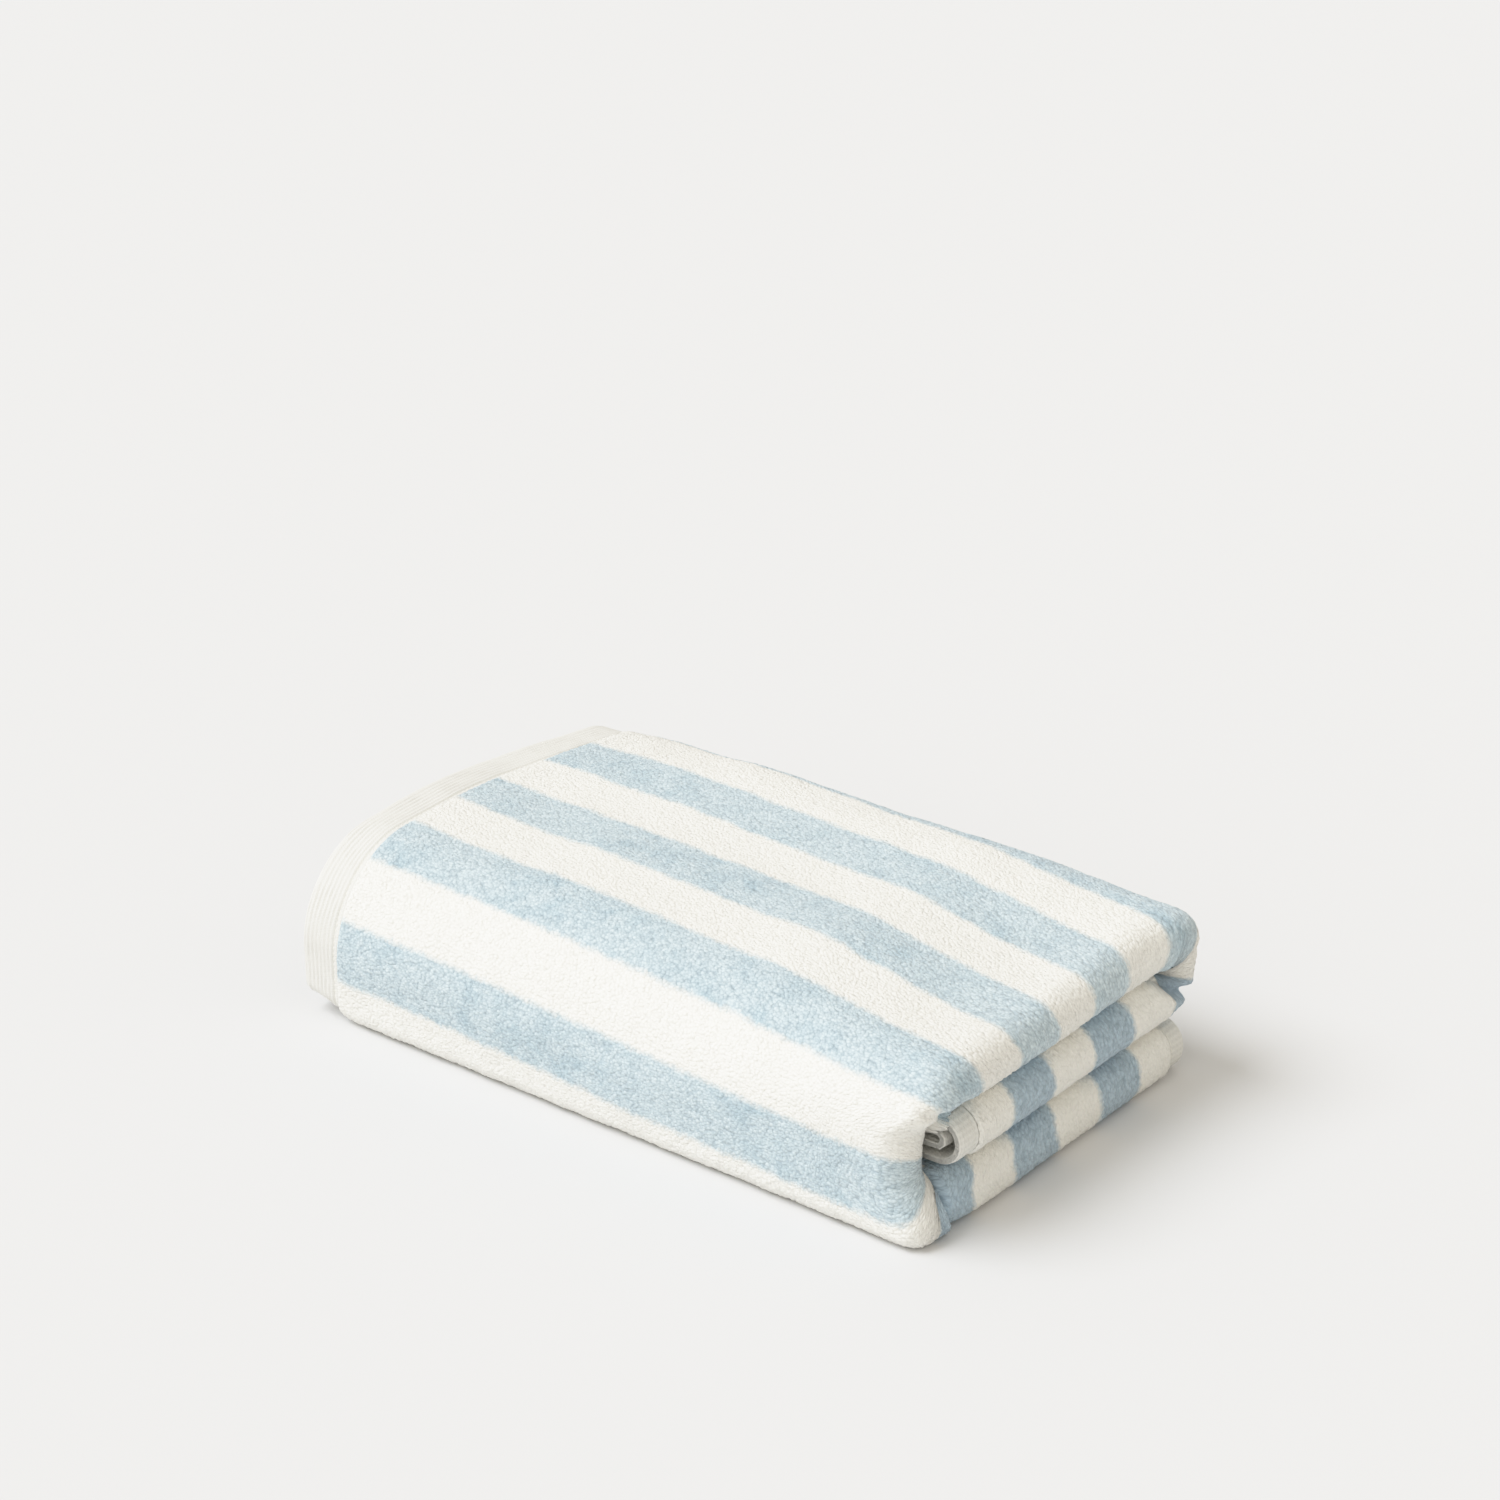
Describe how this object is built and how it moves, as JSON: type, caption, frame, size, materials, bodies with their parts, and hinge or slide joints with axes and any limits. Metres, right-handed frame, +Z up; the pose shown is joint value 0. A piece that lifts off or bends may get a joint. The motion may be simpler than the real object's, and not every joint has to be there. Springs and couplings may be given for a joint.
{
  "type": "hooded baby towel",
  "caption": "Striped velour hooded towel folded into a thick rectangular block, with flat-woven hems; the folded cover opens like a book about its spine.",
  "frame": {"origin": "on the surface that the towel lies on, under the centre of the folded block's box", "axes": "+X along the stripes, from the woven ends to the end folds; +Y across the block, away from the spine; +Z up"},
  "size_m": [0.327, 0.19, 0.0732],
  "materials": {
    "striped_velour": "soft cut-pile velour in dusty blue and cream stripes",
    "woven_hem": "flat-woven cream cotton with fine ribs along the edge",
    "hood_velour": "soft cut-pile velour, cream"
  },
  "bodies": {
    "base": {"bottom_panel": "striped_velour", "bottom_side_hem": "woven_hem", "bottom_outer_end_hem": "woven_hem", "bottom_inner_end_hem": "woven_hem", "hood_panel": "hood_velour", "hood_face_hem": "woven_hem"},
    "spine": {"spine_panel": "striped_velour", "spine_outer_end_hem": "woven_hem", "spine_inner_end_hem": "woven_hem"},
    "cover": {"top_panel": "striped_velour", "top_outer_end_hem": "woven_hem", "top_inner_end_hem": "woven_hem", "back_bend": "striped_velour", "back_outer_end_hem": "woven_hem", "back_inner_end_hem": "woven_hem", "middle_panel": "striped_velour", "middle_side_hem": "woven_hem", "middle_outer_end_hem": "woven_hem", "middle_inner_end_hem": "woven_hem"}
  },
  "joints": [
    {"name": "lower_fold", "type": "hinge", "parent": "base", "child": "spine", "pos_m": [0, -0.0829, 0.0121], "axis": [1, 0, 0], "range_deg": [0, 90]},
    {"name": "upper_fold", "type": "hinge", "parent": "spine", "child": "cover", "pos_m": [0, -0.0829, 0.0611], "axis": [1, 0, 0], "range_deg": [0, 90]}
  ]
}
